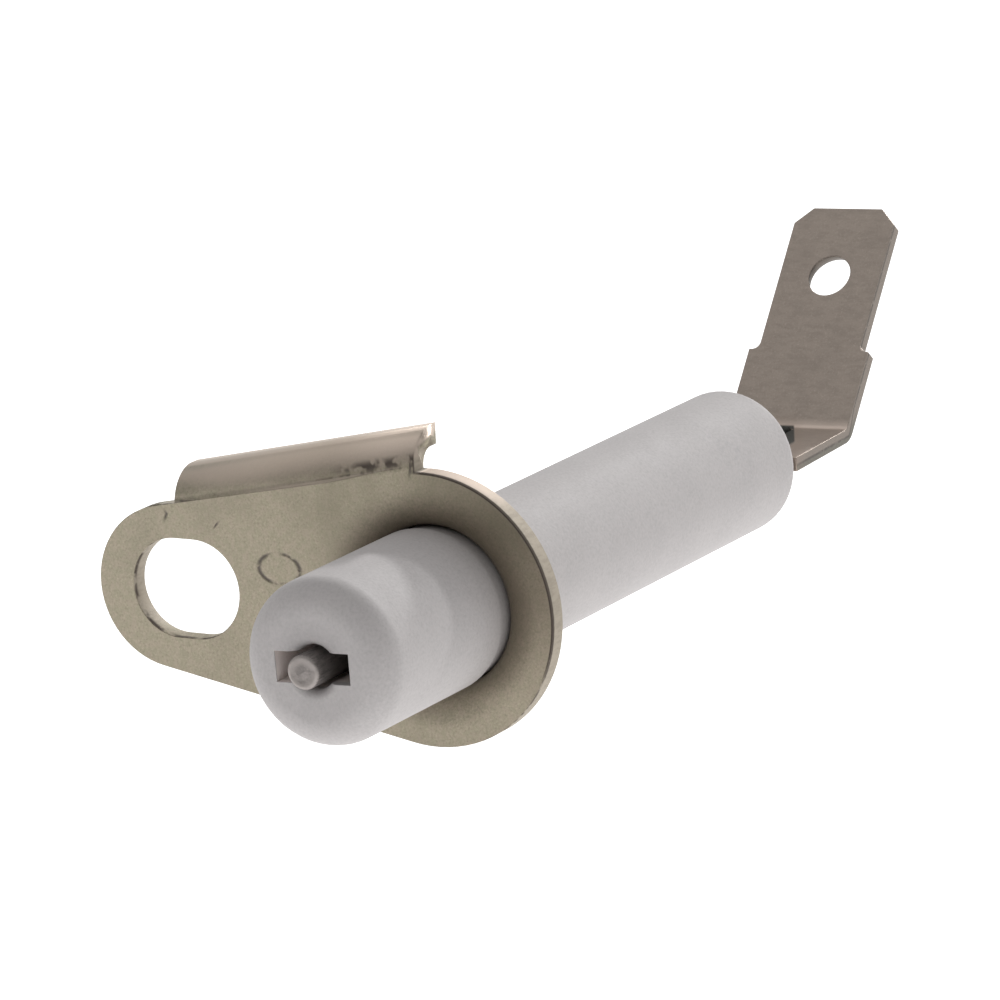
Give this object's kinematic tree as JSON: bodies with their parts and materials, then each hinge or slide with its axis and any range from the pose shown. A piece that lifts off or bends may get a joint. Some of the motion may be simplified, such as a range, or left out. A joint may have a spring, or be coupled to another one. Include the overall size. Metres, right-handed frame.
{
  "type": "ignition electrode",
  "caption": "Short ignition electrode: ceramic body on a metal rod, held in a slotted sheet bracket with a bent lip, with a leaning push-on tab at the back.",
  "frame": {"origin": "on the ceramic's axis, in the plane of the bracket's front face, which seats on the burner", "axes": "+X along the ceramic from the burner side to the terminal, +Y from the ceramic to the bracket's fixing slot, +Z towards the side that the tab leans up to"},
  "size_m": [0.0631, 0.0269, 0.0181],
  "materials": {
    "ceramic": "satin white alumina, fine-grained",
    "bracket_steel": "dull olive-beige plated sheet, finely mottled",
    "rod_alloy": "dull heat-resisting wire with a cut end",
    "terminal_metal": "satin nickel-plated sheet",
    "weld_metal": "dark oxidised weld",
    "cement": "matte ceramic cement"
  },
  "bodies": {
    "root": {"ceramic_insulator": "ceramic", "mounting_bracket": "bracket_steel", "electrode_rod": "rod_alloy", "terminal_tab": "terminal_metal", "weld_bead": "weld_metal", "sealing_cement": "cement"}
  },
  "joints": []
}
